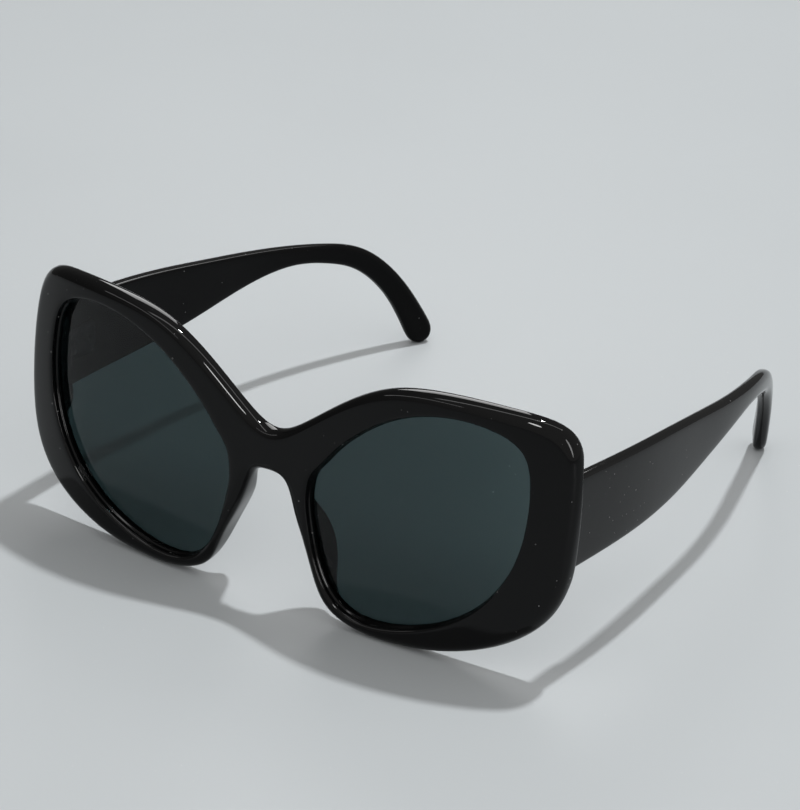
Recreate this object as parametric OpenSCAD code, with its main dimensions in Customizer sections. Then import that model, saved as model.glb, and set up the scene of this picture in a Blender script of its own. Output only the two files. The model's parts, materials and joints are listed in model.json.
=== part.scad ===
// Oversized sunglasses with a one-piece moulded front, wide temples and metal hinges.
// The glasses are drawn upright, with the front facing -Y, and then tilted back
// until the rims and the tips of both temples stand on the ground.

/* [Lenses] */
// Width of a lens opening
lens_w = 54.6; // [50:0.1:60]
// Height of a lens opening
lens_h = 54.4; // [46:0.2:58]
// Distance between the two lens openings
bridge_w = 21.2; // [18:0.1:24]
// Thickness of a lens
lens_t = 1.5; // [1.2:0.1:1.8]
// Depth of the lens behind the front face
lens_set = 2.5; // [2:0.1:3]
// Depth of the groove that holds the lens
groove_d = 0.9; // [0.6:0.1:1]
// Play of the lens in its groove
lens_play = 0.1; // [0.05:0.01:0.15]

/* [Front] */
// Height of the rim above and below the lenses together, at the highest and lowest points
rims_h = 7.7; // [5.6:0.1:9]
// How far the lens openings sit below the middle of the front
lens_drop = 0.8; // [0:0.1:1.5]
// Thickness of the lip behind the lens
lip_t = 0.6; // [0.5:0.05:1]
// Thickness of the front at its outer edge
edge_t = 4.1; // [3.9:0.1:5]
// Width of the rim between a hinge and the lens opening
hinge_margin = 2; // [1.2:0.05:3]
// How far the ends of the front sweep back
sweep = 11; // [7:0.5:14]
// How far the front bows forward beside the nose
bow = 2.7; // [0:0.1:4]
// How far the top of each end leans back
lean = 0.7; // [0:0.1:2]
// How far the corners of each end curl back
dish = 2.9; // [0:0.1:4]
// Radius of the outer edge at the front, where the rim is wide enough for it
edge_r = 2.2; // [1:0.1:2.6]
// Radius of the outer edge at the back
back_r = 0.9; // [0.5:0.1:1.2]

/* [Nose pads] */
// How far the moulded nose pads stand out behind the rim
pad_reach = 6.2; // [2:0.1:8]
// How far the back of the pads leans away from the nose
pad_splay = 1.4; // [0:0.1:2.5]

/* [Temples] */
// Reach of a temple, from the front to the middle of its tip
temple_run = 121; // [105:1:130]
// Height of a temple at the hinge
temple_h = 21.6; // [18:0.2:24]
// Thickness of a temple
temple_t = 3.4; // [3:0.1:4]
// How far the middle of the tip drops below the middle of the hinge end
tip_drop = 26.9; // [20:0.1:32]
// How far the tip bends in towards the head
tip_inset = 21; // [10:0.1:26]
// Height of the middle of the hinge end above the middle of the front
temple_rise = 6; // [3:0.1:8]
// How far the outer face of a temple lies inside the end of the front
side_step = 1.35; // [0.8:0.05:2]

/* [Hinges] */
// Radius of a hinge knuckle
knuckle_r = 1.2; // [1.1:0.05:1.3]
// Height of one knuckle
knuckle_h = 1.9; // [1.5:0.1:2.2]
// Thickness of a hinge leaf
leaf_t = 0.9; // [0.7:0.05:1.1]
// Radius of the hinge screw
pivot_r = 0.6; // [0.5:0.05:0.7]
// Radius of a fixing screw
fixing_r = 0.5; // [0.4:0.05:0.55]

/* [Hidden] */
$fn = 48;
overrun = 0.5;

// Outline of one half of the front, from the notch over the nose, over the top, down the side
// and back to the arch under the bridge. Across: from -1 in the middle to 0 at the lens opening
// and 1 at the outer end. Up: shares of half the height.
outline_shares = [
    [-1, 0.285], [-0.235, 0.455], [0.13, 0.74], [0.315, 0.96], [0.54, 1.01], [0.76, 0.99],
    [0.98, 0.925], [1.005, 0.48], [1, 0.04], [0.98, -0.42], [0.85, -0.745], [0.6, -0.96],
    [0.335, -1.025], [0.08, -0.96], [0.032, -0.6], [-0.35, -0.275], [-0.53, 0.02], [-1, 0.015]];
// Outline of a lens opening, station by station beside the outline of the front, and closed
// past the bridge: shares of half the width and half the height of the opening
opening_shares = [
    [-0.84, 0.29], [-0.74, 0.435], [-0.515, 0.65], [-0.19, 0.885], [0.28, 1.02], [0.675, 0.985],
    [0.965, 0.86], [1.01, 0.485], [0.99, 0.095], [0.875, -0.26], [0.65, -0.59], [0.285, -0.845],
    [-0.23, -1.02], [-0.655, -0.995], [-0.87, -0.7], [-0.955, -0.37], [-1.005, -0.135],
    [-0.995, 0.025], [-0.965, 0.16]];
// Run of a temple: shares of its reach, its drop, its inward bend and half its height
temple_shares = [
    [0, 0, 0, 1], [0.19, 0.01, -0.045, 0.93], [0.345, 0.02, 0.02, 0.8], [0.465, 0, 0.095, 0.58],
    [0.585, -0.02, 0.16, 0.36], [0.705, -0.015, 0.295, 0.2], [0.8, 0.07, 0.46, 0.235],
    [0.875, 0.165, 0.62, 0.27], [0.955, 0.53, 0.825, 0.275], [1, 1, 1, 0.335]];

// Columns of the front between two stations of its outline
front_steps = 5;
arch_station = len(outline_shares) - 1;
stations = len(opening_shares);
columns = stations * front_steps;
// Stations of the outer end of the front
end_stations = [5, 11];
// Station at the middle of a nose pad, and how many stations it reaches to each side
pad_station = 14.45;
pad_spread_stations = 1.8;

// Inner edge of the rim: rounded front edge, ledge in front of the lens, lip behind it
inner_r = 0.32 * lens_set;
ledge = 0.35;
ledge_t = 0.28 * lens_set;
lip_r = 2 / 3 * lip_t;
groove_end = lens_set + lens_t + 2 * lens_play;
rim_t = groove_end + lip_t;

// Hinge: five knuckles on one screw
knuckle_gap = 0.08;
knuckle_count = 5;
knuckle_pitch = knuckle_h + knuckle_gap;
hinge_h = knuckle_count * knuckle_pitch - knuckle_gap;
knuckle_clearance = 0.35;
pivot_clearance = 0.05;
hinge_in = knuckle_r + knuckle_clearance + 0.15 * leaf_t;

// The end of the front is as wide as the temple, the hinge and the rim beside it
flange_in = 0.75 * knuckle_r;
end_w = side_step + temple_t + hinge_in + flange_in + hinge_margin;
front_w = bridge_w + 2 * (lens_w + end_w);
front_h = lens_h + rims_h;
seat_y = wrap(front_w / 2, temple_rise) + edge_t;
seat_margin = 0.15 * edge_t;
seat_blend = 1.5 * edge_t;
butt_gap = 0.1;
temple_x = front_w / 2 - side_step - temple_t / 2;
hinge_at = [temple_x - temple_t / 2 - hinge_in,
            seat_y + knuckle_r + knuckle_clearance, temple_rise];

// Front leaf: a flange let into the flat seat, with three knuckles
flange_w = flange_in + hinge_in + 0.88 * temple_t;
flange_h = hinge_h + 2 * leaf_t;
flange_y = -knuckle_r - knuckle_clearance;
pocket_play = 0.03;
// Temple leaf: a plate let into the inner face of the temple, with two knuckles
plate_x = knuckle_r + knuckle_clearance - 0.05 * knuckle_r;
plate_y = 0.3 * knuckle_r;
plate_l = 12;
plate_h = 0.8 * hinge_h;
// Screws
head_r = 2 * fixing_r;
head_t = 0.6 * leaf_t;
front_screw_l = 4.2;
temple_screw_l = leaf_t + 0.6 * temple_t;
pivot_head_r = 0.9 * knuckle_r;
pivot_head_t = 0.7;
screw_play = 0.02;
front_screw_z = 0.33 * flange_h;
temple_screw_shares = [0.42, 0.82];

metal = [0.72, 0.72, 0.74];
black = [0.06, 0.06, 0.065];
tint = [0.16, 0.2, 0.2, 0.75];

// Cubic spline weights and their slopes at t, from 0 to 1 between two stations
function weights(t) = [pow(1 - t, 3), 3 * pow(t, 3) - 6 * t * t + 4,
                       -3 * pow(t, 3) + 3 * t * t + 3 * t + 1, pow(t, 3)] / 6;
function slopes(t) = [-(1 - t) * (1 - t), 3 * t * t - 4 * t, -3 * t * t + 2 * t + 1, t * t] / 2;
function blend(list, k, w) = w * [for (n = [0 : 3]) list[k + n]];
function span_at(list, v) = min(floor(v), len(list) - 4);
function spline(list, v) = blend(list, span_at(list, v), weights(v - span_at(list, v)));
function spline_slope(list, v) = blend(list, span_at(list, v), slopes(v - span_at(list, v)));
function flipped(p) = [-p[0], p[1]];
function left_of(d) = [-d[1], d[0]] / norm(d);
function mix(a, b, s) = a + (b - a) * s;
function smooth(s) = let (c = max(0, min(1, s))) c * c * (3 - 2 * c);

// Control points of the two outlines, in the plane of the front
function across(s) = s < 0 ? (1 + s) * bridge_w / 2 : bridge_w / 2 + s * (lens_w + end_w);
outline_points = [for (s = outline_shares) [across(s[0]), s[1] * front_h / 2]];
outline_list = concat([flipped(outline_points[1])], outline_points,
                      [flipped(outline_points[arch_station - 1])]);
lens_middle = [(bridge_w + lens_w) / 2, -lens_drop];
opening_points = [for (s = opening_shares)
    lens_middle + [s[0] * lens_w / 2, s[1] * lens_h / 2]];
opening_list = [for (k = [-1 : stations + 1]) opening_points[(k + stations) % stations]];

// Depth of the front surface behind the bridge: nearly flat over the nose, swept back at the ends
function wrap(x, z) = let (u = x / (front_w / 2), w = z / (front_h / 2))
    sweep * pow(u, 4) - bow * u * u + u * u * (lean * w + dish * w * w);
function behind(p, depth) = [p[0], wrap(p[0], p[1]) + depth, p[1]];

// How much of the flat temple seat, and of the nose pad, is present at station v, whose point on
// the outline lies at height z
function seat_share(v, z) = v < end_stations[0] || v > end_stations[1] ? 0
    : smooth((temple_h / 2 + seat_margin + seat_blend - abs(z - temple_rise)) / seat_blend);
function pad_share(v) = abs(v - pad_station) >= pad_spread_stations ? 0
    : pow(cos(90 * (v - pad_station) / pad_spread_stations), 2);
// Thickness of the rim at p, a share s of the way from the outline at height z to the opening
function thickness(v, z, s, p) = mix(
    mix(edge_t, rim_t, s) + pad_reach * pad_share(v) * (1 - pow(s, 1.5)),
    seat_y - wrap(p[0], p[1]),
    seat_share(v, z));

// Section of the rim around the lens edge, as offsets from the opening and depths
inner_rows = [[0, rim_t - lip_r], [0, groove_end], [groove_d, groove_end],
              [groove_d, lens_set], [-ledge, lens_set], [-ledge, lens_set - ledge_t],
              [0, lens_set - ledge_t - ledge], [0, inner_r],
              [inner_r * (1 - cos(45)), inner_r * (1 - sin(45))], [inner_r, 0]];
face_shares = [1 / 3, 2 / 3];
// The front edge takes up at most this share of the width of the rim
edge_share = 0.55;
edge_angles = [0, 22.5, 45, 67.5, 90];
back_angles = [0, 45, 90];
back_shares = [0.1, 0.45, 0.93];
first_edge_row = len(inner_rows) + len(face_shares);
last_edge_row = first_edge_row + len(edge_angles) + len(back_angles) - 1;
rows = last_edge_row + 1 + len(back_shares) + 1;

// One section of the right-hand half of the front, from the lip behind the lens, through the
// groove, over the front face, round the outer edge and back across the rear face
function bridge_share(v) = max(0, (v - arch_station) / (stations - arch_station));
function section(i) = let (
        v = i / front_steps,
        a = spline(opening_list, v),
        an = left_of(spline_slope(opening_list, v)),
        bridge = bridge_share(v),
        ends = [for (e = [0, arch_station]) spline(outline_list, e)],
        b = bridge > 0 ? mix(ends[1], ends[0], bridge) : spline(outline_list, v),
        bn = bridge > 0 ? [0, 2 * bridge - 1] : left_of(spline_slope(outline_list, v)),
        round_r = min(edge_r, edge_share * norm(b - a)),
        front_edge = b - bn * round_r,
        back_b = b - bn * pad_splay * pad_share(v),
        back_edge = back_b - bn * back_r,
        deep = thickness(v, b[1], 0, b),
        back_in = a + an * lip_r)
    concat(
        [for (r = inner_rows) behind(a + an * r[0], r[1])],
        [for (s = face_shares) behind(mix(a + an * inner_r, front_edge, s), 0)],
        [for (g = edge_angles) behind(b - bn * round_r * (1 - sin(g)), round_r * (1 - cos(g)))],
        [for (g = back_angles)
            behind(back_b - bn * back_r * (1 - cos(g)), deep - back_r * (1 - sin(g)))],
        [for (s = back_shares) let (p = mix(back_edge, back_in, s)) behind(p, thickness(v, b[1], s, p))],
        [behind(back_in, rim_t)]);

half_front = [for (i = [0 : columns - 1]) each section(i)];
half_count = len(half_front);
// Two triangles for each patch of the skin; the two halves share their points on the middle plane
patches = [for (i = [0 : columns - 1]) for (j = [0 : rows - 1])
    if (i < arch_station * front_steps || j < first_edge_row || j >= last_edge_row)
        let (k = (i + 1) % columns, m = (j + 1) % rows)
            [i * rows + j, i * rows + m, k * rows + m, k * rows + j]];
function halves(q) = [[q[0], q[1], q[2]], [q[0], q[2], q[3]]];
function other_side(q) = [for (n = [3 : -1 : 0])
    half_front[q[n]][0] == 0 ? q[n] : q[n] + half_count];
front_points = concat(half_front, [for (p = half_front) [-p[0], p[1], p[2]]]);
front_faces = [for (q = patches) each concat(halves(q), halves(other_side(q)))];

// A lens is a thin curved sheet whose edge sits in the groove
ring_shares = [1, 0.85, 0.6, 0.3];
function lens_edge(v) = spline(opening_list, v)
    + left_of(spline_slope(opening_list, v)) * (groove_d - lens_play);
function lens_ring(s, depth) = [for (i = [0 : columns - 1])
    behind(mix(lens_middle, lens_edge(i / front_steps), s), depth)];
lens_depths = [lens_set + lens_play, lens_set + lens_play + lens_t];
lens_points = concat(
    [for (s = ring_shares) each lens_ring(s, lens_depths[0])],
    [for (s = ring_shares) each lens_ring(s, lens_depths[1])],
    [for (d = lens_depths) behind(lens_middle, d)]);
rings = len(ring_shares);
function lens_at(side, ring, i) = (side * rings + ring) * columns + i % columns;
function lens_patch(side, r, i) = [lens_at(side, r, i), lens_at(side, r, i + 1),
                                   lens_at(side, r + 1, i + 1), lens_at(side, r + 1, i)];
function turned(q) = [for (n = [len(q) - 1 : -1 : 0]) q[n]];
function lens_wedge(side, i) = [lens_at(side, rings - 1, i), lens_at(side, rings - 1, i + 1),
                                2 * rings * columns + side];
lens_faces = [for (i = [0 : columns - 1]) each concat(
    [for (r = [0 : rings - 2]) each halves(lens_patch(0, r, i))],
    [for (r = [0 : rings - 2]) each halves(turned(lens_patch(1, r, i)))],
    halves([lens_at(0, 0, i), lens_at(1, 0, i), lens_at(1, 0, i + 1), lens_at(0, 0, i + 1)]),
    [lens_wedge(0, i), turned(lens_wedge(1, i))])];

// A temple is a lofted plate: every section stands square to its run, with its flat side level
temple_steps = 4;
tip_angles = [30, 55, 75];
corner_r = 0.9;
tip_corner_r = 0.42 * temple_t;
crown = 0.15;
temple_path = [for (s = temple_shares)
    [temple_x - s[2] * tip_inset, seat_y + butt_gap + s[0] * temple_run,
     temple_rise - s[1] * tip_drop, s[3] * temple_h / 2]];
temple_last = len(temple_path) - 1;
temple_list = concat([2 * temple_path[0] - temple_path[1]], temple_path,
                     [2 * temple_path[temple_last] - temple_path[temple_last - 1]]);
function place(c) = [c[0], c[1], c[2]];
function along(v) = let (s = place(spline_slope(temple_list, v))) v == 0 ? [0, 1, 0] : s / norm(s);
function level(d) = [d[1], -d[0], 0] / norm([d[0], d[1]]);
// Points of a section, as places across and up the plate, with the outer face slightly crowned
function corner(t, h, r, side, up, start) = [for (g = [0, 45, 90])
    [side * (t / 2 - r) + r * cos(start + g), up * (h - r) + r * sin(start + g)]];
function plate_section(t, h, r) = concat(
    corner(t, h, r, 1, 1, 0),
    corner(t, h, r, -1, 1, 90),
    [[-t / 2, h / 3], [-t / 2, -h / 3]],
    corner(t, h, r, -1, -1, 180),
    corner(t, h, r, 1, -1, 270),
    [[t / 2 + crown, -h / 3], [t / 2 + crown, h / 3]]);
function plate_ring(v, out, shrink) = let (
        c = spline(temple_list, v),
        d = along(v),
        n = level(d),
        u = cross(n, d),
        r = mix(corner_r, tip_corner_r, smooth(1.6 * v / temple_last - 0.6)),
        middle = place(c) + d * c[3] * out)
    [for (p = plate_section(temple_t, c[3], r))
        middle + n * p[0] * sqrt(shrink) + u * p[1] * shrink];
plate_sides = len(plate_section(temple_t, temple_h / 2, corner_r));
temple_rings = concat(
    [for (i = [0 : temple_last * temple_steps]) plate_ring(i / temple_steps, 0, 1)],
    [for (g = tip_angles) plate_ring(temple_last, sin(g), cos(g))]);
temple_tip = place(temple_path[temple_last]) + along(temple_last) * temple_path[temple_last][3];
temple_points = concat([for (r = temple_rings) each r], [temple_tip]);
last_ring = len(temple_rings) - 1;
function plate_at(i, j) = i * plate_sides + j % plate_sides;
temple_faces = concat(
    [[for (j = [plate_sides - 1 : -1 : 0]) j]],
    [for (i = [0 : last_ring - 1]) for (j = [0 : plate_sides - 1])
        each halves([plate_at(i, j), plate_at(i, j + 1), plate_at(i + 1, j + 1), plate_at(i + 1, j)])],
    [for (j = [0 : plate_sides - 1])
        [plate_at(last_ring, j), plate_at(last_ring, j + 1), len(temple_points) - 1]]);

// The glasses stand on the lowest point of the rims and of the tips
function height(p, t) = p[2] * cos(t) - p[1] * sin(t);
function reach(p, t) = p[1] * cos(t) + p[2] * sin(t);
function lowest(points, t) = let (low = min([for (p = points) height(p, t)]))
    [for (p = points) if (height(p, t) == low) p][0];
function settle(t, n) = n == 0 ? t : let (f = lowest(half_front, t), b = lowest(temple_points, t))
    settle(atan2(b[2] - f[2], b[1] - f[1]), n - 1);
tilt = settle(0, 4);
ground = min([for (p = half_front) height(p, tilt)]);
nearest = min([for (p = half_front) reach(p, tilt)]);
farthest = max([for (p = temple_points) reach(p, tilt)]);
middle_y = (nearest + farthest) / 2;
echo(tilt = tilt, ground = ground, middle = middle_y, hinge_at = hinge_at);

module stand() {
    translate([0, -middle_y, -ground]) rotate([-tilt, 0, 0]) children();
}

module left_side() {
    stand() children();
}

module right_side() {
    stand() mirror([1, 0, 0]) children();
}

module at_hinge() {
    translate(hinge_at) children();
}

// Screw with a countersunk head flush with z = 0, pointing down
module fixing_screw(length, play) {
    past = play > 0 ? overrun * head_t : 0;
    translate([0, 0, -head_t])
        cylinder(h = head_t + past, r1 = fixing_r + play,
                 r2 = head_r + play + past * (head_r - fixing_r) / head_t);
    translate([0, 0, -length]) cylinder(h = length - head_t / 2, r = fixing_r + play);
}

module driver_slot(r, depth) {
    translate([-r - overrun, -r / 6, -depth]) cube([2 * (r + overrun), r / 3, depth + overrun]);
}

module screw_with_slot(length) {
    difference() {
        fixing_screw(length, 0);
        driver_slot(head_r, head_t / 2);
    }
}

// Places of the fixing screws, seen from the hinge, with their heads at z = 0
module front_screw_places() {
    for (z = [-front_screw_z, front_screw_z])
        translate([hinge_in + 0.42 * temple_t, flange_y, z]) rotate([-90, 0, 0]) children();
}

module temple_screw_places() {
    for (s = temple_screw_shares)
        translate([plate_x, plate_y + s * plate_l, 0]) rotate([0, -90, 0]) children();
}

module plate(size, r) {
    translate([r, 0, 0]) cube([size[0] - 2 * r, size[1], size[2]]);
    translate([0, r, 0]) cube([size[0], size[1] - 2 * r, size[2]]);
    for (x = [r, size[0] - r]) for (y = [r, size[1] - r])
        translate([x, y, 0]) cylinder(h = size[2], r = r);
}

// The two leaves, and with some play the pockets that take them, which open past the surface
module flange(play) {
    past = play > 0 ? overrun : 0;
    translate([-flange_in - play, flange_y + past, -flange_h / 2 - play]) rotate([90, 0, 0])
        plate([flange_w + 2 * play, flange_h + 2 * play, leaf_t + play + past], leaf_t + play);
}

module leaf_plate(play) {
    past = play > 0 ? overrun : 0;
    translate([plate_x + leaf_t + play, plate_y - play, -plate_h / 2 - play]) rotate([0, -90, 0])
        plate([plate_h + 2 * play, plate_l + 2 * play, leaf_t + play + past], leaf_t + play);
}

module knuckles(first) {
    for (k = [first : 2 : knuckle_count - 1])
        translate([0, 0, k * knuckle_pitch - hinge_h / 2]) children();
}

module pivot_bore() {
    translate([0, 0, -hinge_h / 2 - overrun])
        cylinder(h = hinge_h + 2 * overrun, r = pivot_r + pivot_clearance);
}

module front_leaf() {
    difference() {
        union() {
            flange(0);
            knuckles(0) {
                cylinder(h = knuckle_h, r = knuckle_r);
                translate([-flange_in, flange_y - leaf_t / 2, 0])
                    cube([flange_in + knuckle_r / 4, leaf_t / 2 - flange_y, knuckle_h]);
            }
        }
        pivot_bore();
        front_screw_places() fixing_screw(front_screw_l, screw_play);
    }
}

module temple_leaf() {
    difference() {
        union() {
            leaf_plate(0);
            knuckles(1) {
                cylinder(h = knuckle_h, r = knuckle_r);
                translate([0, plate_y, 0])
                    cube([plate_x + leaf_t / 2, 0.75 * knuckle_r, knuckle_h]);
            }
        }
        pivot_bore();
        temple_screw_places() fixing_screw(temple_screw_l, screw_play);
    }
}

module hinge_screw() {
    difference() {
        union() {
            translate([0, 0, -hinge_h / 2]) cylinder(h = hinge_h, r = pivot_r);
            translate([0, 0, hinge_h / 2]) cylinder(h = pivot_head_t, r = pivot_head_r);
        }
        translate([0, 0, hinge_h / 2 + pivot_head_t]) driver_slot(pivot_head_r, pivot_head_t / 2);
    }
}

module front_leaf_screws() {
    at_hinge() front_screw_places() screw_with_slot(front_screw_l);
}

module temple_leaf_screws() {
    at_hinge() temple_screw_places() screw_with_slot(temple_screw_l);
}

module temple() {
    difference() {
        polyhedron(temple_points, temple_faces);
        at_hinge() {
            leaf_plate(pocket_play);
            temple_screw_places() fixing_screw(temple_screw_l + screw_play, screw_play);
        }
    }
}

module lens() {
    polyhedron(lens_points, lens_faces);
}

module front_frame() {
    color(black) stand() difference() {
        polyhedron(front_points, front_faces);
        for (side = [0, 1]) mirror([side, 0, 0]) at_hinge() {
            flange(pocket_play);
            front_screw_places() fixing_screw(front_screw_l + screw_play, screw_play);
        }
    }
}

module lens_left() { color(tint) left_side() lens(); }
module lens_right() { color(tint) right_side() lens(); }
module temple_left() { color(black) left_side() temple(); }
module temple_right() { color(black) right_side() temple(); }
module front_leaf_left() { color(metal) left_side() at_hinge() front_leaf(); }
module front_leaf_right() { color(metal) right_side() at_hinge() front_leaf(); }
module temple_leaf_left() { color(metal) left_side() at_hinge() temple_leaf(); }
module temple_leaf_right() { color(metal) right_side() at_hinge() temple_leaf(); }
module hinge_screw_left() { color(metal) left_side() at_hinge() hinge_screw(); }
module hinge_screw_right() { color(metal) right_side() at_hinge() hinge_screw(); }
module front_leaf_screws_left() { color(metal) left_side() front_leaf_screws(); }
module front_leaf_screws_right() { color(metal) right_side() front_leaf_screws(); }
module temple_leaf_screws_left() { color(metal) left_side() temple_leaf_screws(); }
module temple_leaf_screws_right() { color(metal) right_side() temple_leaf_screws(); }

front_frame();
lens_left();
lens_right();
temple_left();
temple_right();
front_leaf_left();
front_leaf_right();
temple_leaf_left();
temple_leaf_right();
hinge_screw_left();
hinge_screw_right();
front_leaf_screws_left();
front_leaf_screws_right();
temple_leaf_screws_left();
temple_leaf_screws_right();
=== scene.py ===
# %% [markdown]
# Oversized sunglasses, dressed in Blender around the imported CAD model. The glasses stand on the rims
# and on the tips of both temples, with the front facing the negative Y axis and the wearer's left
# at positive X. All lengths are in metres. The CAD nodes give every size and place, so each piece
# below starts from them, and this script adds what makes them look real: smooth skins, small
# bevels, real screws, and the finish of each material.

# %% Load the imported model
import json
import math

import bpy
from mathutils import Euler, Matrix, Vector


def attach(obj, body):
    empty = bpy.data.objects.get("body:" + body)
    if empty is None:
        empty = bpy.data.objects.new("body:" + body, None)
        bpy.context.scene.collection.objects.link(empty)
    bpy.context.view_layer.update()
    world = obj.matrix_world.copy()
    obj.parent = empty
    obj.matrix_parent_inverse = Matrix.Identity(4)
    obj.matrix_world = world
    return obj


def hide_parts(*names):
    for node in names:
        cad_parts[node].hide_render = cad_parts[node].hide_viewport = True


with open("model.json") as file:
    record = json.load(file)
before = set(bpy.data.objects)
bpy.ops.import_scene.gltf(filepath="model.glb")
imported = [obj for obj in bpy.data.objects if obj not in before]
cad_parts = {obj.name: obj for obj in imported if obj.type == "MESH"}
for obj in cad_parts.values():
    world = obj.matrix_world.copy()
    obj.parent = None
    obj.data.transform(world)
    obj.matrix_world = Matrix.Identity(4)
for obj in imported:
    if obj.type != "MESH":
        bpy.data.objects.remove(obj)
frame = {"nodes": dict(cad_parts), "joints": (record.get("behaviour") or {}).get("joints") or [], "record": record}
bpy.ops.object.select_all(action="DESELECT")
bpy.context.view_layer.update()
body_of_node = {
    node: body
    for body, nodes in frame["record"]["behaviour"]["bodies"].items()
    for node in nodes
}
print("CAD nodes:", sorted(body_of_node))

# %% [markdown]
# The camera comes first, because every later choice of size and gloss is judged through it. It
# could be placed by eye, but the picture fixes it well: the two rims are mirror images of each
# other, and so are the temples, so direction, distance and focal length follow from them. The
# distance is about six times the width of the glasses, which keeps the perspective gentle.

# %% Camera at the angle of the photograph
MM = 0.001
IMAGE_SIZE = (800, 810)
FOCAL_PIXELS = 3942.3
AXIS_ABOVE_MIDDLE_PIXELS = 5
SENSOR = 36
look_at = Vector((34.53, -65.77, 59.37)) * MM
camera_distance = 842.97 * MM
azimuth, elevation, roll = (math.radians(a) for a in (34.506, 26.006, 1.121))

camera_data = bpy.data.cameras.new("studio_camera")
camera_data.sensor_width = SENSOR
camera_data.lens = FOCAL_PIXELS * SENSOR / max(IMAGE_SIZE)
camera_data.shift_y = -AXIS_ABOVE_MIDDLE_PIXELS / max(IMAGE_SIZE)
camera_data.clip_start = 10 * MM
camera = bpy.data.objects.new("studio_camera", camera_data)
bpy.context.scene.collection.objects.link(camera)
turn = Euler((math.pi / 2 - elevation, 0, azimuth)).to_matrix() @ Matrix.Rotation(roll, 3, "Z")
eye = look_at + turn @ Vector((0, 0, camera_distance))
camera.matrix_world = Matrix.Translation(eye) @ turn.to_4x4()
bpy.context.scene.camera = camera
print("Focal length:", round(camera_data.lens, 1), "mm")

# %% [markdown]
# The front of real acetate-look sunglasses is moulded in one shot, and then polished, so that no
# facet is left on it. The CAD skin is a net of small flat patches, and its mesh is loose triangles.
# The node itself is left alone. A copy of it is merged into one connected skin, and the marks of
# the old normals are cleared, so that the shading can be set anew.

# %% Copy a CAD node into one skin
MERGE_DISTANCE = 0.002 * MM


def open_only(piece):
    bpy.ops.object.select_all(action="DESELECT")
    piece.select_set(True)
    bpy.context.view_layer.objects.active = piece


def copy_of(node, name):
    piece = bpy.data.objects.new(name, frame["nodes"][node].data.copy())
    bpy.context.scene.collection.objects.link(piece)
    piece.data.materials.clear()
    open_only(piece)
    bpy.ops.mesh.customdata_custom_splitnormals_clear()
    bpy.ops.object.mode_set(mode="EDIT")
    bpy.ops.mesh.select_mode(type="VERT")
    bpy.ops.mesh.select_all(action="SELECT")
    bpy.ops.mesh.remove_doubles(threshold=MERGE_DISTANCE)
    bpy.ops.mesh.mark_sharp(clear=True)
    bpy.ops.object.mode_set(mode="OBJECT")
    return piece


front = copy_of("front_frame", "front_shell")
print(front.name, "starts with", len(front.data.vertices), "vertices")

# %% [markdown]
# A skin of flat patches could be remeshed, which would blur the groove and the hinge pocket. Here
# its triangles are joined back into the quads they were made from, the true corners are creased,
# and a subdivision surface then rounds everything else.

# %% Round a skin between its corners
CORNER_ANGLE = 55
QUAD_FACE_ANGLE, QUAD_SHAPE_ANGLE = 40, 60


def crease_corners(piece):
    open_only(piece)
    bpy.ops.object.mode_set(mode="EDIT")
    bpy.ops.mesh.select_mode(type="EDGE")
    bpy.ops.mesh.select_all(action="DESELECT")
    bpy.ops.mesh.edges_select_sharp(sharpness=math.radians(CORNER_ANGLE))
    bpy.ops.transform.edge_crease(value=1)
    bpy.ops.object.mode_set(mode="OBJECT")


def make_quads(piece):
    open_only(piece)
    bpy.ops.object.mode_set(mode="EDIT")
    bpy.ops.mesh.select_all(action="SELECT")
    bpy.ops.mesh.tris_convert_to_quads(
        face_threshold=math.radians(QUAD_FACE_ANGLE),
        shape_threshold=math.radians(QUAD_SHAPE_ANGLE),
    )
    bpy.ops.object.mode_set(mode="OBJECT")


def subdivide_smooth(piece, levels):
    open_only(piece)
    smooth = piece.modifiers.new("smooth", "SUBSURF")
    smooth.levels = smooth.render_levels = levels
    bpy.ops.object.modifier_apply(modifier=smooth.name)


make_quads(front)
crease_corners(front)
subdivide_smooth(front, 2)
print(front.name, "now has", len(front.data.polygons), "faces")

# %% [markdown]
# Smooth shading hides the faces that are left, and an angle limit keeps the real corners crisp.
# Each finished piece then takes the place of its CAD node: it rides on the same body, so it turns
# with the same hinge.

# %% Shade a piece and put it in the place of its node
PLASTIC_SMOOTH_ANGLE = 40
made = {}


def finish_shading(piece, angle):
    open_only(piece)
    bpy.ops.object.shade_smooth_by_angle(angle=math.radians(angle))
    piece.data.calc_loop_triangles()
    print(piece.name, "has", len(piece.data.loop_triangles), "triangles")


def stand_for(piece, node):
    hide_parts(node)
    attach(piece, body_of_node[node])
    made[node] = piece


finish_shading(front, PLASTIC_SMOOTH_ANGLE)
stand_for(front, "front_frame")

# %% [markdown]
# The temples are moulded from the same black plastic as the front. They are wide flat blades at the
# hinge, and roll into a slim hook that goes behind the ear. Each blade has a flat end that butts
# against the front, so that edge has to stay crisp, while the long edges stay softly rounded.

# %% Temples
for side in ("left", "right"):
    temple = copy_of(f"temple_{side}", f"temple_{side}_arm")
    make_quads(temple)
    crease_corners(temple)
    subdivide_smooth(temple, 2)
    finish_shading(temple, PLASTIC_SMOOTH_ANGLE)
    stand_for(temple, f"temple_{side}")

# %% [markdown]
# A lens is a thin tinted sheet, cut to shape and snapped into the groove of the rim. Both of its
# faces follow the bow of the front. Facets would show at once in what is seen through it, so its
# net is subdivided as well, and only its rim is creased.

# %% Lenses
LENS_SMOOTH_ANGLE = 30
for side in ("left", "right"):
    lens = copy_of(f"lens_{side}", f"lens_{side}_glass")
    make_quads(lens)
    crease_corners(lens)
    subdivide_smooth(lens, 1)
    finish_shading(lens, LENS_SMOOTH_ANGLE)
    stand_for(lens, f"lens_{side}")

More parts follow.
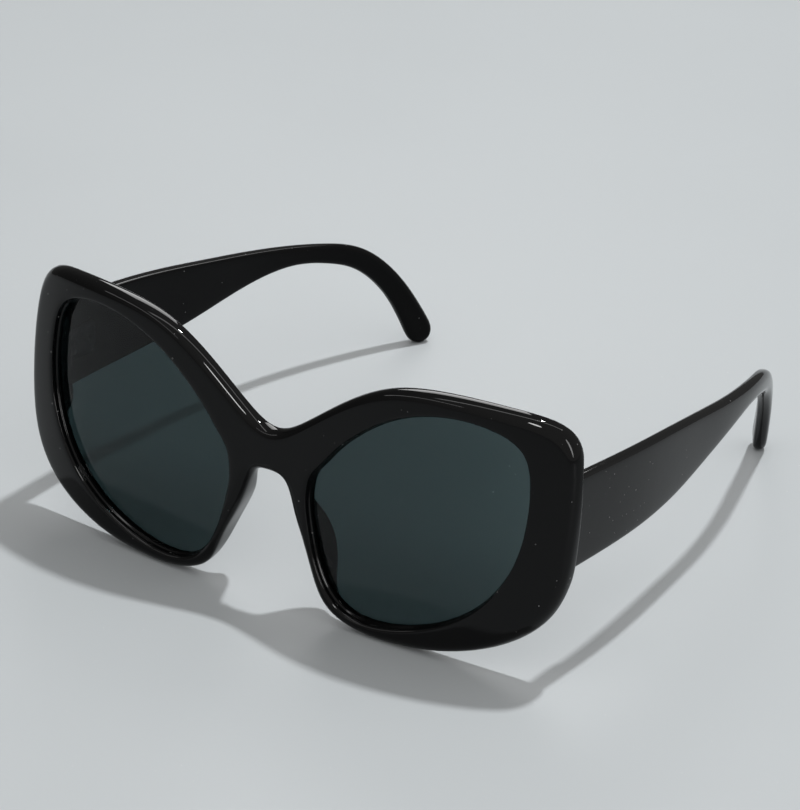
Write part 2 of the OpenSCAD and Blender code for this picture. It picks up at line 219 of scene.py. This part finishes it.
# %% [markdown]
# The hinges are stamped and rolled from sheet, and tumbled before they are plated, so every edge of
# a leaf carries a small radius that catches the light. The solids have sharp edges. On a copy, the
# triangles of each flat face are dissolved into one face, and a bevel modifier then breaks only
# the edges that are real corners.

# %% Hinge leaves with broken edges
LEAF_EDGE = 0.09 * MM
LEAF_CORNER_ANGLE = 50
METAL_SMOOTH_ANGLE = 35
FLAT_ANGLE = 1


def bevel_corners(piece, width, segments, angle):
    open_only(piece)
    bpy.ops.object.mode_set(mode="EDIT")
    bpy.ops.mesh.select_all(action="SELECT")
    bpy.ops.mesh.dissolve_limited(angle_limit=math.radians(FLAT_ANGLE))
    bpy.ops.object.mode_set(mode="OBJECT")
    edge = piece.modifiers.new("edge", "BEVEL")
    edge.width = width
    edge.segments = segments
    edge.limit_method = "ANGLE"
    edge.angle_limit = math.radians(angle)
    edge.miter_outer = "MITER_ARC"
    bpy.ops.object.modifier_apply(modifier=edge.name)


for side in ("left", "right"):
    for part in ("front_leaf", "temple_leaf"):
        leaf = copy_of(f"{part}_{side}", f"{part}_{side}_plate")
        bevel_corners(leaf, LEAF_EDGE, 2, LEAF_CORNER_ANGLE)
        finish_shading(leaf, METAL_SMOOTH_ANGLE)
        stand_for(leaf, f"{part}_{side}")

# %% [markdown]
# Ten small screws hold the hinges. A real one has a turned head with a rounded rim and a milled
# slot for a jeweller's screwdriver. One screw could be copied from the solids, but it is so small
# that its bevels matter more than its shape, so it is made here as by hand: a cylinder, its rim
# bevelled, and a slot cut by a boolean modifier. The joint of each hinge gives the place.

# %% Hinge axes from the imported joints
hinges = {}
for joint in frame["joints"]:
    side = joint["name"].split("_")[0]
    upward = Vector(joint["axis"]) * (1 if joint["axis"][2] > 0 else -1)
    outward = Vector((1 if side == "left" else -1, 0, 0))
    backward = Vector((0, 1, 0))
    backward = (backward - upward * backward.dot(upward)).normalized()
    axes = Matrix((outward, backward, upward)).transposed().to_4x4()
    hinges[side] = Matrix.Translation(Vector(joint["pos_m"])) @ axes
    print(joint["name"], "at", [round(v, 4) for v in joint["pos_m"]])

# %% [markdown]
# A slot is milled right across the head of a screw. Its walls are cut with a boolean modifier, by a
# block that is longer than the head is wide. Vertices are picked in code by their place, because
# there is no mouse to pick them with, and the edges and faces between them are picked along.

# %% Pick vertices and mill a slot
SLOT_SHARE = 1 / 3


def select_vertices(piece, test):
    bpy.ops.object.mode_set(mode="OBJECT")
    for v in piece.data.vertices:
        v.select = test(v.co)
    for e in piece.data.edges:
        e.select = all(piece.data.vertices[v].select for v in e.vertices)
    for f in piece.data.polygons:
        f.select = all(piece.data.vertices[v].select for v in f.vertices)
    bpy.ops.object.mode_set(mode="EDIT")
    bpy.ops.mesh.select_mode(type="VERT")


def cut_slot(piece, top, radius, depth):
    bpy.ops.object.select_all(action="DESELECT")
    bpy.ops.mesh.primitive_cube_add(size=1, location=(0, 0, top))
    cutter = bpy.context.object
    cutter.scale = (3 * radius, SLOT_SHARE * radius, 2 * depth)
    open_only(piece)
    slot = piece.modifiers.new("slot", "BOOLEAN")
    slot.operation = "DIFFERENCE"
    slot.solver = "EXACT"
    slot.object = cutter
    bpy.context.view_layer.update()
    bpy.ops.object.modifier_apply(modifier=slot.name)
    bpy.data.objects.remove(cutter)


# %% [markdown]
# The fixing screws are countersunk: a cone runs from the head down to the shank. A cylinder gives
# the shank, and its top face is extruded and scaled up in edit mode to make the cone, so head and
# shank are one skin. The slot comes next, and last the corners are broken.

# %% Countersunk fixing screw
FIXING_RADIUS = 0.5 * MM
HEAD_RADIUS = 1.0 * MM
HEAD_DEPTH = 0.54 * MM
SCREW_EDGE = 0.05 * MM
SCREW_CORNER_ANGLE = 40
SCREW_SIDES = 40


def fixing_screw(name, length):
    bpy.ops.object.select_all(action="DESELECT")
    bpy.ops.mesh.primitive_cylinder_add(
        vertices=SCREW_SIDES, radius=FIXING_RADIUS, depth=length - HEAD_DEPTH,
        location=(0, 0, -(length + HEAD_DEPTH) / 2),
    )
    screw = bpy.context.object
    screw.name = name
    bpy.ops.object.transform_apply(location=True, rotation=False, scale=False)
    select_vertices(screw, lambda co: co.z > -HEAD_DEPTH - MERGE_DISTANCE)
    bpy.ops.mesh.extrude_region_move(TRANSFORM_OT_translate={"value": (0, 0, HEAD_DEPTH)})
    bpy.ops.transform.resize(value=(HEAD_RADIUS / FIXING_RADIUS,) * 2 + (1,))
    bpy.ops.object.mode_set(mode="OBJECT")
    cut_slot(screw, 0, HEAD_RADIUS, HEAD_DEPTH / 2)
    bevel_corners(screw, SCREW_EDGE, 2, SCREW_CORNER_ANGLE)
    return screw


# %% [markdown]
# Each screw is made once, at the origin, and then copied with a mesh of its own. The place of a
# copy goes into its mesh, so the object itself stays at the origin, unturned. The right hinge is
# the mirror image of the left one, and a mirrored matrix turns a mesh inside out, so the normals
# of each copy are recalculated after its doubles are merged.

# %% Copy and join screws
def place_copy(master, name, matrix):
    piece = bpy.data.objects.new(name, master.data.copy())
    bpy.context.scene.collection.objects.link(piece)
    piece.matrix_world = matrix
    open_only(piece)
    bpy.context.view_layer.update()
    bpy.ops.object.transform_apply(location=True, rotation=True, scale=True)
    bpy.ops.object.mode_set(mode="EDIT")
    bpy.ops.mesh.select_all(action="SELECT")
    bpy.ops.mesh.remove_doubles(threshold=MERGE_DISTANCE)
    bpy.ops.mesh.normals_make_consistent(inside=False)
    bpy.ops.object.mode_set(mode="OBJECT")
    return piece


def joined(pieces, name):
    open_only(pieces[0])
    for piece in pieces[1:]:
        piece.select_set(True)
    bpy.ops.object.join()
    bpy.context.object.name = name
    return bpy.context.object


# %% [markdown]
# Two screws hold each leaf. Places are given from the middle of the hinge: outwards, backwards and
# upwards. The screws of the front leaf show their heads to the back, and those of the temple leaf
# show them to the head of the wearer. A fitter stops each screw at another angle, so the two
# slots of a pair aren't parallel.

# %% Fixing screws
FRONT_SCREW_LENGTH = 4.2 * MM
TEMPLE_SCREW_LENGTH = 2.94 * MM
FRONT_SCREW_OUT, FRONT_SCREW_BACK, FRONT_SCREW_UP = 3.113, -1.55, 3.835
TEMPLE_SCREW_OUT, TEMPLE_SCREWS_BACK = 1.49, (5.4, 10.2)
front_screw_places = [
    Vector((FRONT_SCREW_OUT, FRONT_SCREW_BACK, up)) * MM for up in (-FRONT_SCREW_UP, FRONT_SCREW_UP)
]
temple_screw_places = [Vector((TEMPLE_SCREW_OUT, back, 0)) * MM for back in TEMPLE_SCREWS_BACK]
face_back = Matrix.Rotation(math.radians(-90), 4, "X")
face_inward = Matrix.Rotation(math.radians(-90), 4, "Y")
slot_turns = (25, -40)
for kind, length, places, facing in (
    ("front_leaf_screws", FRONT_SCREW_LENGTH, front_screw_places, face_back),
    ("temple_leaf_screws", TEMPLE_SCREW_LENGTH, temple_screw_places, face_inward),
):
    master = fixing_screw("screw_master", length)
    for side in ("left", "right"):
        screws = []
        for place, angle in zip(places, slot_turns):
            turned = facing @ Matrix.Rotation(math.radians(angle), 4, "Z")
            matrix = hinges[side] @ Matrix.Translation(place) @ turned
            screws.append(place_copy(master, "screw", matrix))
        pair = joined(screws, f"{kind}_{side}_pair")
        finish_shading(pair, METAL_SMOOTH_ANGLE)
        stand_for(pair, f"{kind}_{side}")
    bpy.data.objects.remove(master)

# %% [markdown]
# The pivot screw is what the temple turns on. It runs through all five knuckles, its domed head
# stands on the top one, and its end is just flush below. The head is a short cylinder whose lower
# face is inset and extruded into the shank. One round bevel of the rim gives the dome.

# %% Pivot screws
PIVOT_RADIUS = 0.6 * MM
PIVOT_HEAD_RADIUS = 1.08 * MM
PIVOT_HEAD_HEIGHT = 0.7 * MM
PIVOT_DOME = 0.18 * MM
HINGE_HEIGHT = 9.82 * MM
bpy.ops.mesh.primitive_cylinder_add(
    vertices=SCREW_SIDES, radius=PIVOT_HEAD_RADIUS, depth=PIVOT_HEAD_HEIGHT,
    location=(0, 0, (HINGE_HEIGHT + PIVOT_HEAD_HEIGHT) / 2),
)
head = bpy.context.object
bpy.ops.object.transform_apply(location=True, rotation=False, scale=False)
select_vertices(head, lambda co: co.z < HINGE_HEIGHT / 2 + MERGE_DISTANCE)
bpy.ops.mesh.inset(thickness=PIVOT_HEAD_RADIUS - PIVOT_RADIUS)
bpy.ops.mesh.extrude_region_move(TRANSFORM_OT_translate={"value": (0, 0, -HINGE_HEIGHT)})
bpy.ops.object.mode_set(mode="OBJECT")
bevel_corners(head, PIVOT_DOME, 4, LEAF_CORNER_ANGLE)
cut_slot(head, HINGE_HEIGHT / 2 + PIVOT_HEAD_HEIGHT, PIVOT_HEAD_RADIUS, PIVOT_HEAD_HEIGHT / 2)
for side, angle in (("left", 15), ("right", -35)):
    matrix = hinges[side] @ Matrix.Rotation(math.radians(angle), 4, "Z")
    pivot = place_copy(head, f"hinge_screw_{side}_pivot", matrix)
    finish_shading(pivot, METAL_SMOOTH_ANGLE)
    stand_for(pivot, f"hinge_screw_{side}")
bpy.data.objects.remove(head)

# %% [markdown]
# Every finish below is built from a few effects that several materials share: specks of dust, the
# uneven gloss that handling leaves, and a fine grain. Each effect could be copied into every
# material, but a node group with named inputs keeps it in one place, and each material then sets
# its own amounts. The groups put out only masks and values, and the shader stays in the material.

# %% Helpers for node groups
def new_group(name, inputs, outputs):
    tree = bpy.data.node_groups.new(name, "ShaderNodeTree")
    for label, kind, default in inputs:
        socket = tree.interface.new_socket(label, in_out="INPUT", socket_type=kind)
        if default is not None:
            socket.default_value = default
    for label in outputs:
        tree.interface.new_socket(label, in_out="OUTPUT", socket_type="NodeSocketFloat")
    return tree, tree.nodes.new("NodeGroupInput"), tree.nodes.new("NodeGroupOutput")


def math_node(tree, operation, first, second, clamp=False):
    node = tree.nodes.new("ShaderNodeMath")
    node.operation = operation
    node.use_clamp = clamp
    for socket, value in zip(node.inputs, (first, second)):
        if isinstance(value, (int, float)):
            socket.default_value = value
        else:
            tree.links.new(value, socket)
    return node.outputs[0]


# %% [markdown]
# Dust settles as single pale specks, a few to the square centimetre, and most of them are under a
# quarter of a millimetre across. Noise alone would give blotches. A Voronoi texture gives one dot
# to each cell instead, and its random cell colour picks the few cells that keep their dot and
# makes the dots unequal.

# %% Dust specks
FLOAT, VECTOR = "NodeSocketFloat", "NodeSocketVector"


def dust_group():
    inputs = [
        ("Position", VECTOR, None), ("Cell size", FLOAT, 0.0015),
        ("Speck size", FLOAT, 0.0001), ("Share", FLOAT, 0.3),
    ]
    tree, given, result = new_group("dust_specks", inputs, ["Mask"])
    cells = tree.nodes.new("ShaderNodeTexVoronoi")
    tree.links.new(given.outputs["Position"], cells.inputs["Vector"])
    tree.links.new(math_node(tree, "DIVIDE", 1.0, given.outputs["Cell size"]), cells.inputs["Scale"])
    distance = math_node(tree, "MULTIPLY", cells.outputs["Distance"], given.outputs["Cell size"])
    random = tree.nodes.new("ShaderNodeSeparateColor")
    tree.links.new(cells.outputs["Color"], random.inputs[0])
    reach = math_node(tree, "MULTIPLY", given.outputs["Speck size"], random.outputs[1])
    kept = math_node(tree, "LESS_THAN", random.outputs[0], given.outputs["Share"])
    soft = math_node(tree, "SUBTRACT", 1.0, math_node(tree, "DIVIDE", distance, reach), clamp=True)
    tree.links.new(math_node(tree, "MULTIPLY", soft, kept), result.inputs["Mask"])
    return tree


dust = dust_group()
print("Group:", dust.name)

# %% [markdown]
# Polished plastic and glass are never equally glossy all over: fingers and cloths leave faint
# patches. Two sizes of noise, mixed, give a value between a low and a high roughness.

# %% Uneven gloss
def gloss_group():
    inputs = [
        ("Position", VECTOR, None), ("Scale", FLOAT, 40.0),
        ("Smooth", FLOAT, 0.05), ("Rough", FLOAT, 0.1),
    ]
    tree, given, result = new_group("handled_gloss", inputs, ["Roughness"])
    patches = tree.nodes.new("ShaderNodeTexNoise")
    patches.inputs["Detail"].default_value = 3
    patches.inputs["Roughness"].default_value = 0.6
    tree.links.new(given.outputs["Position"], patches.inputs["Vector"])
    tree.links.new(given.outputs["Scale"], patches.inputs["Scale"])
    spread = tree.nodes.new("ShaderNodeMapRange")
    spread.inputs["From Min"].default_value = 0.35
    spread.inputs["From Max"].default_value = 0.65
    tree.links.new(patches.outputs[0], spread.inputs["Value"])
    tree.links.new(given.outputs["Smooth"], spread.inputs["To Min"])
    tree.links.new(given.outputs["Rough"], spread.inputs["To Max"])
    tree.links.new(spread.outputs[0], result.inputs["Roughness"])
    return tree


gloss = gloss_group()
print("Group:", gloss.name)

# %% [markdown]
# Moulded plastic keeps a very slight unevenness from the mould, which only shows as a waver in
# sharp reflections. Brushed sheet has a finer one, drawn out along the strokes of the brush. Both
# are a noise height: the stretch of the position decides which of the two it is.

# %% Surface grain
def grain_group():
    inputs = [
        ("Position", VECTOR, None), ("Stretch", VECTOR, (1.0, 1.0, 1.0)), ("Scale", FLOAT, 300.0),
    ]
    tree, given, result = new_group("surface_grain", inputs, ["Height"])
    stretched = tree.nodes.new("ShaderNodeVectorMath")
    stretched.operation = "MULTIPLY"
    tree.links.new(given.outputs["Position"], stretched.inputs[0])
    tree.links.new(given.outputs["Stretch"], stretched.inputs[1])
    grain = tree.nodes.new("ShaderNodeTexNoise")
    grain.inputs["Detail"].default_value = 2
    tree.links.new(stretched.outputs[0], grain.inputs["Vector"])
    tree.links.new(given.outputs["Scale"], grain.inputs["Scale"])
    tree.links.new(grain.outputs[0], result.inputs["Height"])
    return tree


grain = grain_group()
print("Group:", grain.name)

# %% [markdown]
# All finishes share one layout: position, gloss, dust over the base colour, and grain as a bump.
# This helper lays those nodes out around a Principled shader, and each material sets the numbers.
# A speck of dust is pale and also dull, so the same mask goes to the colour and to the roughness.

# %% A finish from colour, gloss, dust and grain
COLOR_A, COLOR_B, MIXED_COLOR = 6, 7, 2


def add_group(tree, group, position, **values):
    node = tree.nodes.new("ShaderNodeGroup")
    node.node_tree = group
    tree.links.new(position, node.inputs["Position"])
    for label, value in values.items():
        node.inputs[label.replace("_", " ")].default_value = value
    return node


def new_finish(
    name, color, smooth, rough, patch_scale, dust_color, speck, share,
    bump, grain_scale, stretch=(1, 1, 1),
):
    material = bpy.data.materials.new(name)
    material.use_nodes = True
    tree = material.node_tree
    shader = tree.nodes["Principled BSDF"]
    position = tree.nodes.new("ShaderNodeTexCoord").outputs["Object"]
    patches = add_group(tree, gloss, position, Scale=patch_scale, Smooth=smooth, Rough=rough)
    specks = add_group(tree, dust, position, Speck_size=speck, Share=share)
    surface = add_group(tree, grain, position, Stretch=stretch, Scale=grain_scale)
    tinted = tree.nodes.new("ShaderNodeMix")
    tinted.data_type = "RGBA"
    tinted.inputs[COLOR_A].default_value = (*color, 1)
    tinted.inputs[COLOR_B].default_value = (*dust_color, 1)
    tree.links.new(specks.outputs["Mask"], tinted.inputs[0])
    tree.links.new(tinted.outputs[MIXED_COLOR], shader.inputs["Base Color"])
    dulled = math_node(tree, "ADD", patches.outputs[0], specks.outputs["Mask"], clamp=True)
    tree.links.new(dulled, shader.inputs["Roughness"])
    relief = tree.nodes.new("ShaderNodeBump")
    relief.inputs["Distance"].default_value = bump
    tree.links.new(surface.outputs["Height"], relief.inputs["Height"])
    tree.links.new(relief.outputs["Normal"], shader.inputs["Normal"])
    return material, shader


# %% [markdown]
# The front is polished jet black. Black plastic shows almost nothing of its own colour. What the
# eye reads is its reflections, so the roughness is low and the base is nearly black. A pale floor
# lifts a polished black to grey. The specular level takes some of that reflection back, to the
# deep black of the picture.

# %% Black plastic of the front
JET_BLACK = (0.0015, 0.0015, 0.0017)
PALE_DUST = (0.3, 0.3, 0.3)
SPECK = 0.26 * MM
PLASTIC_IOR = 1.49
front_plastic, shader = new_finish(
    "polished_black_plastic", JET_BLACK, smooth=0.015, rough=0.05, patch_scale=45,
    dust_color=PALE_DUST, speck=SPECK, share=0.2, bump=0.02 * MM, grain_scale=160,
)
shader.inputs["IOR"].default_value = PLASTIC_IOR
shader.inputs["Specular IOR Level"].default_value = 0.18
front.data.materials.append(front_plastic)
print("Front finish:", front_plastic.name)

# %% [markdown]
# The temples come from the same plastic. Their outer faces are polished, while the inner faces
# keep the satin skin of the mould and look deeper black. Both could be one material with a mask,
# but its shine would have to change over the surface, so each face gets one of two materials by
# the way it points: towards the head or away from it.

# %% Black plastic of the temples
INWARD_LIMIT = -0.25
outer_plastic, shader = new_finish(
    "polished_temple_plastic", JET_BLACK, smooth=0.04, rough=0.1, patch_scale=30,
    dust_color=PALE_DUST, speck=SPECK, share=0.35, bump=0.03 * MM, grain_scale=120,
)
shader.inputs["IOR"].default_value = PLASTIC_IOR
shader.inputs["Specular IOR Level"].default_value = 0.25
inner_plastic, shader = new_finish(
    "satin_temple_plastic", JET_BLACK, smooth=0.1, rough=0.18, patch_scale=30,
    dust_color=PALE_DUST, speck=SPECK, share=0.2, bump=0.03 * MM, grain_scale=120,
)
shader.inputs["IOR"].default_value = PLASTIC_IOR
shader.inputs["Specular IOR Level"].default_value = 0.08
for side, outward in (("left", 1), ("right", -1)):
    temple = made[f"temple_{side}"].data
    temple.materials.append(outer_plastic)
    temple.materials.append(inner_plastic)
    for face in temple.polygons:
        face.material_index = int(face.normal.x * outward < INWARD_LIMIT)
    print(side, "inner faces:", sum(face.material_index for face in temple.polygons))

# %% [markdown]
# The lenses carry a dark grey dye with some green and blue right through. They let a twentieth of the
# red light pass, and a little more of the green and blue. A colour on the surface would tint every
# view the same. Absorption inside the sheet does what the dye does: a slanting look crosses more
# of it and comes out darker. On top of that, a painted shade darkens the surface colour softly
# towards the bottom of each lens. It stands in for the shadowed floor that the lower part of a lens
# mirrors. The low index of the glass keeps the mirror image of the floor in the lens faint.

# %% Tinted lens
# Painted shade at the bottom of each lens: full below the lower height, gone above the upper one.
PAINTED_SHADE_LOW, PAINTED_SHADE_HIGH = 10 * MM, 34 * MM
CLEAR, PAINTED_SHADE_TINT = (1, 1, 1), (0.74, 0.76, 0.77)
LENS_IOR = 1.3
DYE_COLOR, DYE_DENSITY, LENS_THICKNESS = (0.02, 0.161, 0.172), 2040, 1.5 * MM
lens_glass, shader = new_finish(
    "tinted_lens", CLEAR, smooth=0.0, rough=0.015, patch_scale=25,
    dust_color=(0.5, 0.5, 0.5), speck=0.16 * MM, share=0.1, bump=0.003 * MM, grain_scale=60,
)
shader.inputs["IOR"].default_value = LENS_IOR
shader.inputs["Transmission Weight"].default_value = 1
tree = lens_glass.node_tree
# Painted shade: from here to the mix, the surface colour of the lens darkens by height towards its bottom.
height = tree.nodes.new("ShaderNodeSeparateXYZ")
tree.links.new(tree.nodes["Texture Coordinate"].outputs["Object"], height.inputs[0])
depth = tree.nodes.new("ShaderNodeMapRange")
depth.interpolation_type = "SMOOTHSTEP"
for label, value in (("From Min", PAINTED_SHADE_LOW), ("From Max", PAINTED_SHADE_HIGH), ("To Min", 0.0), ("To Max", 1.0)):
    depth.inputs[label].default_value = value
tree.links.new(height.outputs["Z"], depth.inputs["Value"])
# This mix paints the shade into the surface colour of the lens.
painted_shade_mix = tree.nodes.new("ShaderNodeMix")
painted_shade_mix.data_type = "RGBA"
painted_shade_mix.inputs[COLOR_A].default_value = (*PAINTED_SHADE_TINT, 1)
painted_shade_mix.inputs[COLOR_B].default_value = (*CLEAR, 1)
tree.links.new(depth.outputs[0], painted_shade_mix.inputs[0])
tree.links.new(painted_shade_mix.outputs[MIXED_COLOR], tree.nodes["Mix"].inputs[COLOR_A])
dye = tree.nodes.new("ShaderNodeVolumeAbsorption")
dye.inputs["Color"].default_value = (*DYE_COLOR, 1)
dye.inputs["Density"].default_value = DYE_DENSITY
tree.links.new(dye.outputs[0], tree.nodes["Material Output"].inputs["Volume"])
for side in ("left", "right"):
    made[f"lens_{side}"].data.materials.append(lens_glass)
passed = [math.exp(-DYE_DENSITY * (1 - c) * LENS_THICKNESS) for c in DYE_COLOR]
print("Share of light through the lens:", [round(share, 3) for share in passed])

# %% [markdown]
# No bright plate shows through the tinted lens beside the hinge, so the hinge is plated black. The
# plating is thin, and keeps the grain of the brushed sheet below it, drawn out along the temple.
# The screws are turned, so their grain runs evenly, and they are a little brighter.

# %% Black plating of the hinge leaves and screws
METAL_DUST = (0.12, 0.12, 0.12)
leaf_plating, shader = new_finish(
    "black_plated_leaf", (0.022, 0.022, 0.024), smooth=0.24, rough=0.38, patch_scale=400,
    dust_color=METAL_DUST, speck=0.08 * MM, share=0.1, bump=0.02 * MM, grain_scale=2500,
    stretch=(1, 0.12, 1),
)
shader.inputs["Metallic"].default_value = 1
screw_plating, shader = new_finish(
    "black_plated_screw", (0.035, 0.035, 0.037), smooth=0.16, rough=0.3, patch_scale=600,
    dust_color=METAL_DUST, speck=0.06 * MM, share=0.1, bump=0.01 * MM, grain_scale=3000,
)
shader.inputs["Metallic"].default_value = 1
for node, piece in made.items():
    if "leaf_screws" in node or "hinge_screw" in node:
        piece.data.materials.append(screw_plating)
    elif "leaf" in node:
        piece.data.materials.append(leaf_plating)
print("Finishes:", sorted(m.name for m in bpy.data.materials if m.use_nodes))

# %% [markdown]
# The glasses stand on a plain pale floor. It is a single large disc with a faint mottle, so that it
# reads as painted board, and it stays far behind the object in sharpness and contrast.

# %% Floor
FLOOR_RADIUS = 4
bpy.ops.object.select_all(action="DESELECT")
bpy.ops.mesh.primitive_circle_add(
    vertices=96, radius=FLOOR_RADIUS, fill_type="NGON", location=(0, 0, 0)
)
floor = bpy.context.object
floor.name = "studio_floor"
floor_paint, shader = new_finish(
    "pale_board", (0.56, 0.585, 0.605), smooth=0.5, rough=0.6, patch_scale=12,
    dust_color=(0.8, 0.8, 0.8), speck=0.2 * MM, share=0.12, bump=0.02 * MM, grain_scale=900,
)
shader.inputs["Specular IOR Level"].default_value = 0.2
floor.data.materials.append(floor_paint)
print("Floor:", floor_paint.name, "to", FLOOR_RADIUS, "m from the middle")

# %% [markdown]
# The light comes from above and behind, so the front is in its own shade and its polished edges
# carry bright points. One small round lamp, high up, gives the crisp shadows that run forward over
# the floor. Each lamp shines along its own negative Z axis, so it is turned to look at the origin.

# %% Key lamp
KEY_PLACE, KEY_SIZE, KEY_POWER = (0.15, 0.657, 2.005), 0.11, 23


def area_lamp(name, place, shape, width, height, power, color=(1, 1, 1)):
    data = bpy.data.lights.new(name, "AREA")
    data.shape = shape
    data.size, data.size_y = width, height
    data.energy = power
    data.color = color
    lamp = bpy.data.objects.new(name, data)
    bpy.context.scene.collection.objects.link(lamp)
    facing = Vector(place).to_track_quat("Z", "Y").to_matrix().to_4x4()
    lamp.matrix_world = Matrix.Translation(place) @ facing
    return lamp


area_lamp("key_lamp", KEY_PLACE, "ELLIPSE", KEY_SIZE, KEY_SIZE, KEY_POWER, (0.98, 1, 1))
print("Key lamp at", round(Vector(KEY_PLACE).length, 2), "m")

# %% [markdown]
# Gloss is drawn by what it mirrors. A studio hangs white cards where the polished edges look, and
# each card shows up as one bright line. These cards light nothing else: they are seen in
# reflections alone, so the level of the light and the shadows stay as the key lamp gives them. A
# lamp is given by its power, so the power of each card is worked out from its area and radiance.

# %% Cards that show in reflections
AREA_SHARE = {"RECTANGLE": 1, "ELLIPSE": math.pi / 4}


def card(name, place, shape, width, height, radiance):
    power = math.pi * AREA_SHARE[shape] * width * height * radiance
    lamp = area_lamp(name, place, shape, width, height, power)
    lamp.visible_diffuse = lamp.visible_transmission = lamp.visible_camera = False


card("front_card", (0.50, -0.98, 1.26), "ELLIPSE", 0.26, 0.3, 38.2)
card("corner_card", (1.4, -0.35, 0.5), "ELLIPSE", 0.2, 0.8, 12.73)
card("low_front_card", (-1.0, -1.3, 1.15), "RECTANGLE", 1.6, 0.1, 6)
card("wall_card", (-0.19, 0.25, 0.29), "RECTANGLE", 0.22, 0.2, 6)
card("ceiling_strip", (0.05, -0.05, 1.4), "RECTANGLE", 2, 0.14, 6)

# %% [markdown]
# An even surround fills the shadows to a little over half of the full light. It is brightest above
# and on the side of the camera, as with a pale wall there, and dim beyond the glasses. That keeps
# the tops of the temples black, because they mirror what is behind them. The dot product of the
# direction of a ray with the direction of the wall sets the level.

# %% Surround
WALL_DIRECTION = (0.75, -0.4, 0.53)
FAR_LEVEL, WALL_LEVEL = 0.12, 0.7
world = bpy.data.worlds.new("surround")
bpy.context.scene.world = world
world.use_nodes = True
tree = world.node_tree
surround = tree.nodes["Background"]
surround.inputs["Color"].default_value = (1, 1, 0.98, 1)
ray = tree.nodes.new("ShaderNodeTexCoord")
toward_wall = tree.nodes.new("ShaderNodeVectorMath")
toward_wall.operation = "DOT_PRODUCT"
toward_wall.inputs[1].default_value = WALL_DIRECTION
tree.links.new(ray.outputs["Generated"], toward_wall.inputs[0])
level = tree.nodes.new("ShaderNodeMapRange")
level.interpolation_type = "SMOOTHSTEP"
level_ends = (("From Min", -0.7), ("From Max", 0.9), ("To Min", FAR_LEVEL), ("To Max", WALL_LEVEL))
for label, value in level_ends:
    level.inputs[label].default_value = value
tree.links.new(toward_wall.outputs["Value"], level.inputs["Value"])
tree.links.new(level.outputs[0], surround.inputs["Strength"])
bpy.context.scene.view_settings.view_transform = "Standard"
print("Surround:", FAR_LEVEL, "to", WALL_LEVEL)
